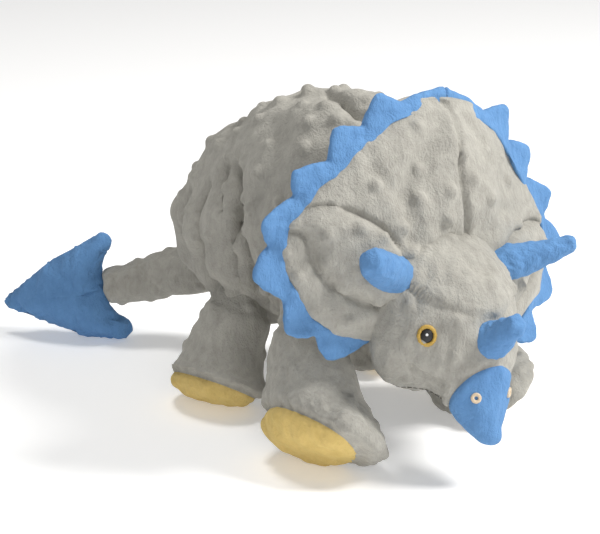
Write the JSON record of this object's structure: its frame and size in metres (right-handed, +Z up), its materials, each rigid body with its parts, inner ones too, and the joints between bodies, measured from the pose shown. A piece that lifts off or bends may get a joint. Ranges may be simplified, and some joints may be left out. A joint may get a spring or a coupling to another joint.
{
  "type": "stuffed dinosaur toy",
  "caption": "Stuffed horned dinosaur toy of grey dotted plush with blue beak, horns, spiked frill trim and tail blade, and yellow soles, on sprung neck, hip, tail and horn joints",
  "frame": {"origin": "bottom centre of the whole toy: on the floor, halfway along and halfway across its outline", "axes": "+X from the tail to the beak, +Y to the dinosaur's left, +Z up"},
  "size_m": [0.4, 0.2289, 0.215],
  "materials": {
    "grey_plush": "short pile with raised dots",
    "blue_plush": "short pile",
    "yellow_plush": "short pile",
    "fibre_filling": "loose polyester fibre",
    "gold_thread": "satin embroidery thread",
    "black_thread": "satin embroidery thread",
    "squeaker_vinyl": "moulded vinyl"
  },
  "bodies": {
    "torso": {"back_panel_left": "grey_plush", "back_panel_right": "grey_plush", "belly_panel": "grey_plush", "torso_filling": "fibre_filling", "squeaker_bulb": "squeaker_vinyl", "squeaker_reed": "squeaker_vinyl"},
    "neck": {"neck_sleeve": "grey_plush", "neck_filling": "fibre_filling"},
    "head": {"crown_panel": "grey_plush", "chin_panel": "grey_plush", "cheek_left": "grey_plush", "cheek_right": "grey_plush", "beak_skin": "blue_plush", "head_filling": "fibre_filling", "eye_ring_left": "gold_thread", "eye_ring_right": "gold_thread", "pupil_left": "black_thread", "pupil_right": "black_thread", "nostril_left": "gold_thread", "nostril_right": "gold_thread", "frill_front_panel": "grey_plush", "frill_back_panel": "grey_plush", "frill_filling": "fibre_filling", "spike_trim_left": "blue_plush", "spike_trim_right": "blue_plush"},
    "tail": {"tail_skin": "grey_plush", "tail_filling": "fibre_filling"},
    "tail_blade": {"tail_blade_face_left": "blue_plush", "tail_blade_face_right": "blue_plush", "tail_blade_filling": "fibre_filling"},
    "brow_horn_left": {"brow_horn_left_skin": "blue_plush", "brow_horn_left_filling": "fibre_filling"},
    "brow_horn_right": {"brow_horn_right_skin": "blue_plush", "brow_horn_right_filling": "fibre_filling"},
    "nose_horn": {"nose_horn_skin": "blue_plush", "nose_horn_filling": "fibre_filling"},
    "front_left_leg": {"front_left_leg_skin": "grey_plush", "front_left_sole": "yellow_plush", "front_left_leg_filling": "fibre_filling"},
    "front_right_leg": {"front_right_leg_skin": "grey_plush", "front_right_sole": "yellow_plush", "front_right_leg_filling": "fibre_filling"},
    "rear_left_leg": {"rear_left_leg_skin": "grey_plush", "rear_left_sole": "yellow_plush", "rear_left_leg_filling": "fibre_filling"},
    "rear_right_leg": {"rear_right_leg_skin": "grey_plush", "rear_right_sole": "yellow_plush", "rear_right_leg_filling": "fibre_filling"}
  },
  "joints": [
    {"name": "head_turn", "type": "hinge", "parent": "torso", "child": "neck", "pos_m": [0.1122, 0.0007, 0.118], "axis": [0, 0, 1], "range_deg": [-12, 7], "stiffness_Nm_per_rad": 0.6},
    {"name": "head_nod", "type": "hinge", "parent": "neck", "child": "head", "pos_m": [0.1122, 0.0007, 0.118], "axis": [0, 1, 0], "range_deg": [-14, 4], "stiffness_Nm_per_rad": 0.9},
    {"name": "front_left_leg_swing", "type": "hinge", "parent": "torso", "child": "front_left_leg", "pos_m": [0.0622, 0.0437, 0.078], "axis": [0, 1, 0], "range_deg": [-3, 16], "stiffness_Nm_per_rad": 0.9},
    {"name": "front_right_leg_swing", "type": "hinge", "parent": "torso", "child": "front_right_leg", "pos_m": [0.0622, -0.0423, 0.078], "axis": [0, 1, 0], "range_deg": [-3, 16], "stiffness_Nm_per_rad": 0.9},
    {"name": "rear_left_leg_swing", "type": "hinge", "parent": "torso", "child": "rear_left_leg", "pos_m": [-0.0118, 0.0427, 0.064], "axis": [0, 1, 0], "range_deg": [-14, 14], "stiffness_Nm_per_rad": 0.9},
    {"name": "rear_right_leg_swing", "type": "hinge", "parent": "torso", "child": "rear_right_leg", "pos_m": [-0.0118, -0.0413, 0.064], "axis": [0, 1, 0], "range_deg": [-14, 14], "stiffness_Nm_per_rad": 0.9},
    {"name": "tail_swing", "type": "hinge", "parent": "torso", "child": "tail", "pos_m": [-0.0938, -0.0053, 0.058], "axis": [0, 0, 1], "range_deg": [-18, 18], "stiffness_Nm_per_rad": 0.15},
    {"name": "tail_tip_bend", "type": "hinge", "parent": "tail", "child": "tail_blade", "pos_m": [-0.1458, -0.0523, 0.0385], "axis": [0, 0, 1], "range_deg": [-12, 12], "stiffness_Nm_per_rad": 0.08},
    {"name": "brow_horn_left_bend", "type": "hinge", "parent": "head", "child": "brow_horn_left", "pos_m": [0.1332, 0.0359, 0.10896], "axis": [0, 0.1132, 0.9936], "range_deg": [-8, 8], "stiffness_Nm_per_rad": 0.04},
    {"name": "brow_horn_right_bend", "type": "hinge", "parent": "head", "child": "brow_horn_right", "pos_m": [0.1332, -0.03563, 0.11711], "axis": [0, 0.1132, 0.9936], "range_deg": [-8, 8], "stiffness_Nm_per_rad": 0.04},
    {"name": "nose_horn_bend", "type": "hinge", "parent": "head", "child": "nose_horn", "pos_m": [0.1782, -0.00315, 0.08422], "axis": [0, 0.9936, -0.1132], "range_deg": [-8, 8], "stiffness_Nm_per_rad": 0.03}
  ]
}
